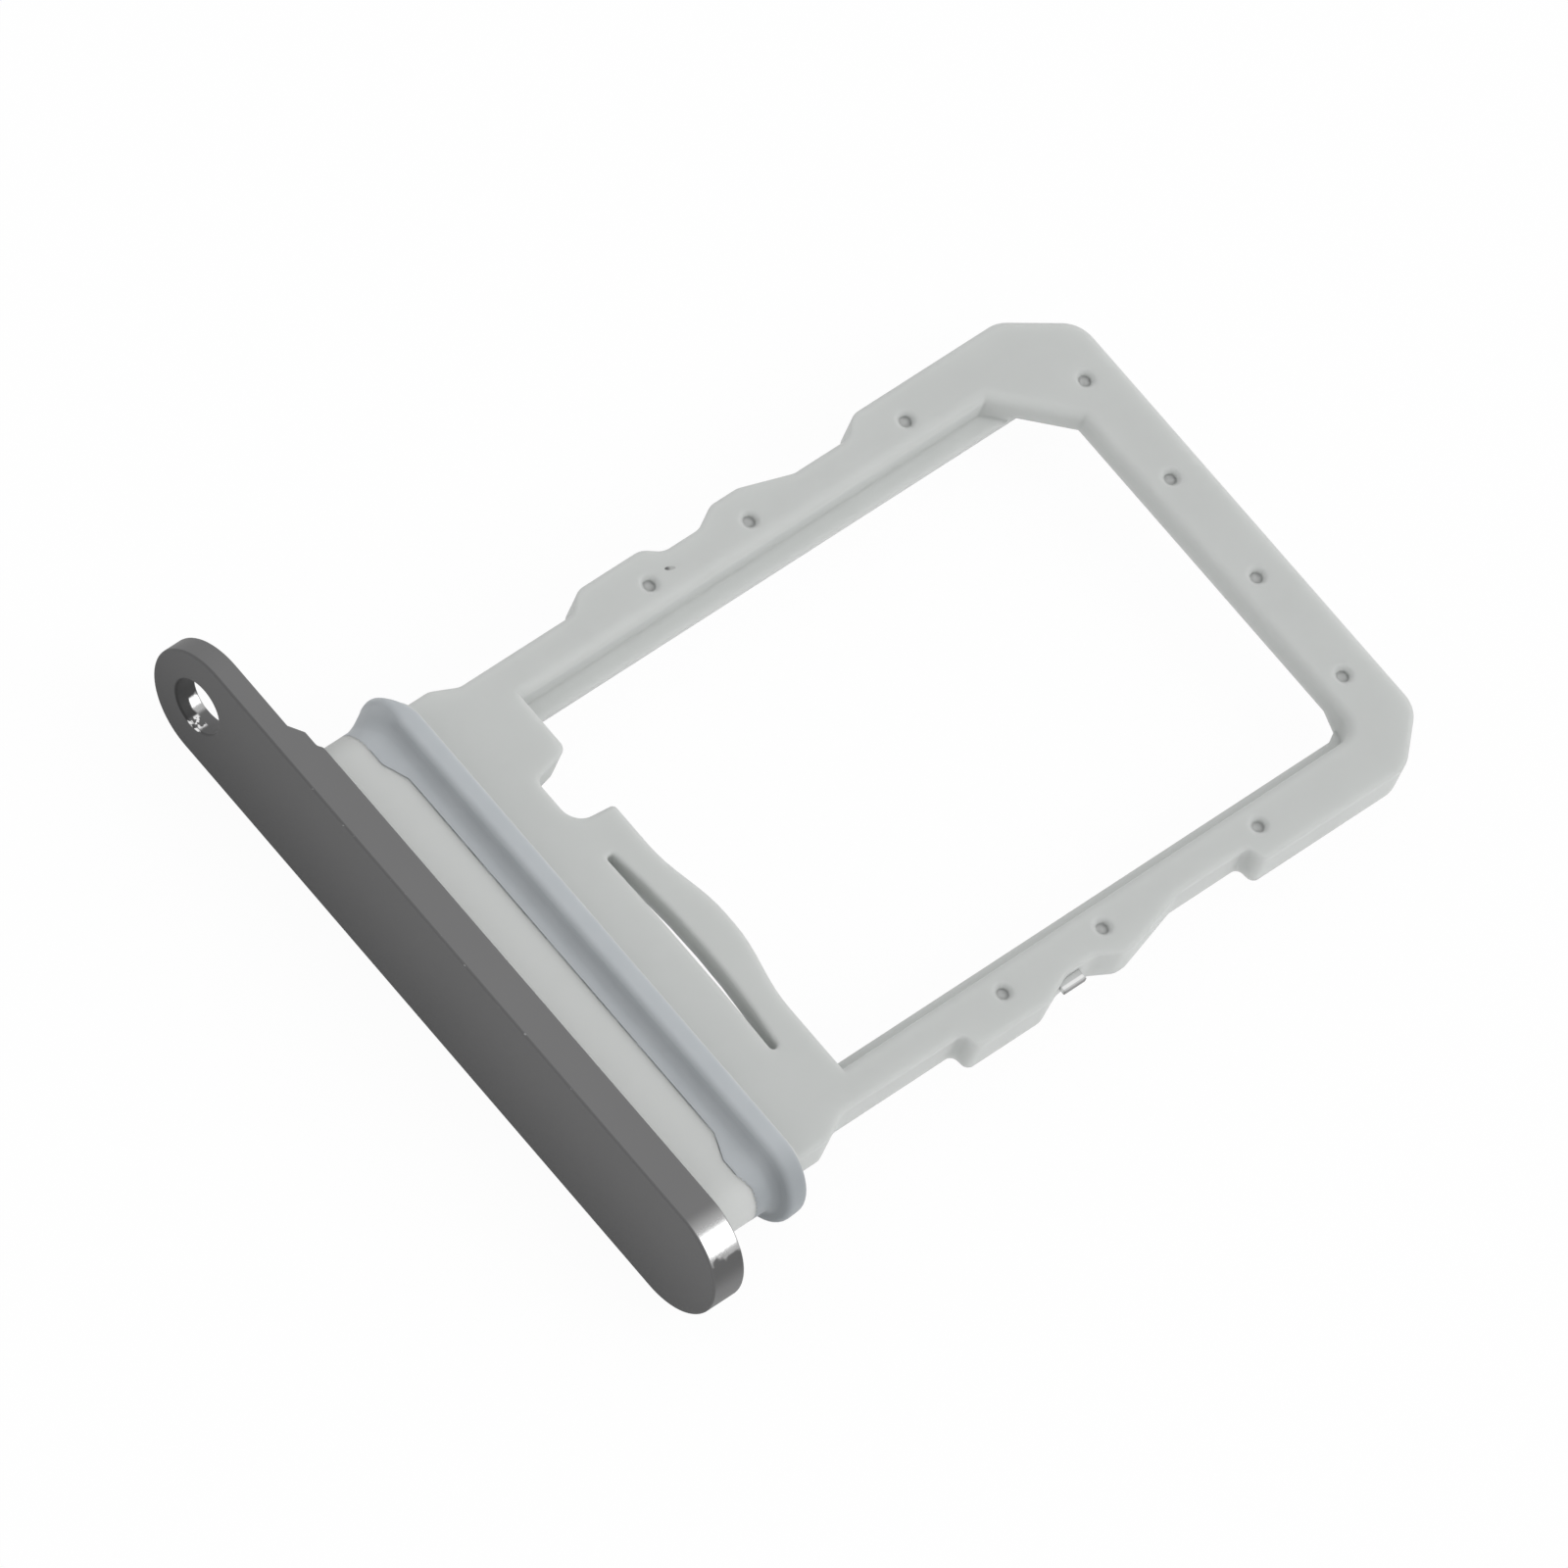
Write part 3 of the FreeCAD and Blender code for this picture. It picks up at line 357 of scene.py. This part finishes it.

# The frame: light grey plastic moulded round the insert, in one with its neck and spring beam.
# It has a small dark scuff on its left rail, and painted light makes it a little paler in front of the seal.
plastic, shader, place = new_material("light_grey_plastic")
plastic_greys = (0.545, 0.56, 0.55, 1.0), (0.575, 0.59, 0.58, 1.0)
neck_light_grey, scuff_black = (0.67, 0.68, 0.67, 1.0), (0.12, 0.12, 0.12, 1.0)
cloud, fine, flow = place.grain(1.6 * MM), place.grain(0.04 * MM), place.grain(0.5 * MM)
# Painted light: the plastic in front of the seal is paler.
painted_neck_light = (1.0 - place.axis(1).between(-7.6 * MM, -7.4 * MM)) * 0.5
tone = painted_neck_light.blend(cloud.blend(*plastic_greys), neck_light_grey)
scuff_head, scuff_tail = place.away_from(-3.95, -0.53, 1.75), place.away_from(-3.87, -0.35, 1.75)
scuff = (1.0 - (scuff_head + scuff_tail).between(0.2 * MM, 0.225 * MM)) * (
    1.0 - scuff_head.between(0.04 * MM, 0.12 * MM) * 0.7)
feed(shader, Base_Color=scuff.blend(tone, scuff_black),
     Roughness=0.5 + fine * 0.12, Specular_IOR_Level=0.3,
     Normal=(fine * 0.4 + flow).dents(0.006 * MM, 0.25, Normal=place.soft_edges(0.16 * MM)),
     Subsurface_Weight=0.6, Subsurface_Radius=(1.0, 1.0, 1.0), Subsurface_Scale=0.45 * MM)
tray = reworked_copy("tray_frame", "frame_visual")
round_edges(tray, 0.05 * MM, 3)
stand_for(tray, "tray_frame", plastic)

# The table: a plain white floor under the tray. It shows white to the camera and in reflections,
# and keeps a faint soft shadow.
shape = bmesh.new()
bmesh.ops.create_grid(shape, x_segments=2, y_segments=2, size=1.0)
bmesh.ops.translate(shape, verts=shape.verts, vec=(0.0, 0.0, cad_low.z))
floor_mesh = bpy.data.meshes.new("floor")
shape.to_mesh(floor_mesh)
shape.free()
floor = bpy.data.objects.new("floor", floor_mesh)
bpy.context.scene.collection.objects.link(floor)
white, shader, place = new_material("white_table")
rays = place.node("LightPath")
seen, mirrored, through = (Maths(place.tree, rays.outputs[name]) for name in
                           ("Is Camera Ray", "Is Glossy Ray", "Is Transmission Ray"))
shown = place.reckon("MAXIMUM", seen, place.reckon("MAXIMUM", mirrored, through))
glow = place.node("Emission", Color=(1.0, 1.0, 1.0, 1.0), Strength=1.0)
mix = place.node("MixShader", Fac=shown * 0.95)
place.tree.links.new(shader.outputs[0], mix.inputs[1])
place.tree.links.new(glow.outputs[0], mix.inputs[2])
place.tree.links.new(mix.outputs[0], place.tree.nodes["Material Output"].inputs[0])
feed(shader, Base_Color=(0.93, 0.93, 0.93, 1.0), Roughness=0.8)
floor_mesh.materials.append(white)

# The light: an even white room, and one soft lamp to the right and behind, which shines on the
# bezel's polished end.
world = bpy.data.worlds.new("room")
bpy.context.scene.world = world
world.use_nodes = True
world.node_tree.nodes["Background"].inputs["Color"].default_value = (1.0, 1.0, 1.0, 1.0)
world.node_tree.nodes["Background"].inputs["Strength"].default_value = 0.81
lamp = bpy.data.lights.new("side_lamp", "AREA")
lamp.size = 0.42
lamp.energy = 1.6
lamp_stand = bpy.data.objects.new("side_lamp", lamp)
lamp_stand.location = (0.48, 0.39, 0.505)
lamp_stand.rotation_euler = (-lamp_stand.location).to_track_quat("-Z", "Y").to_euler()
bpy.context.scene.collection.objects.link(lamp_stand)

# The camera: a long lens, high over the tray's right front corner, rolled as the photograph was.
camera_data = bpy.data.cameras.new("camera")
camera_data.lens = 683.1
camera_data.sensor_width = 36.0
camera_data.clip_start = 0.05
camera_data.clip_end = 5.0
camera = bpy.data.objects.new("camera", camera_data)
bpy.context.scene.collection.objects.link(camera)
across = Vector((0.63504, 0.73338, 0.24266))
upwards = Vector((-0.73353, 0.47401, 0.48707))
backwards = Vector((0.24218, -0.48731, 0.83897))
turn = Matrix((across, upwards, backwards)).transposed().to_4x4()
camera.matrix_world = Matrix.Translation((0.128775, -0.259477, 0.445756)) @ turn
bpy.context.scene.camera = camera
bpy.context.scene.view_settings.view_transform = "Standard"
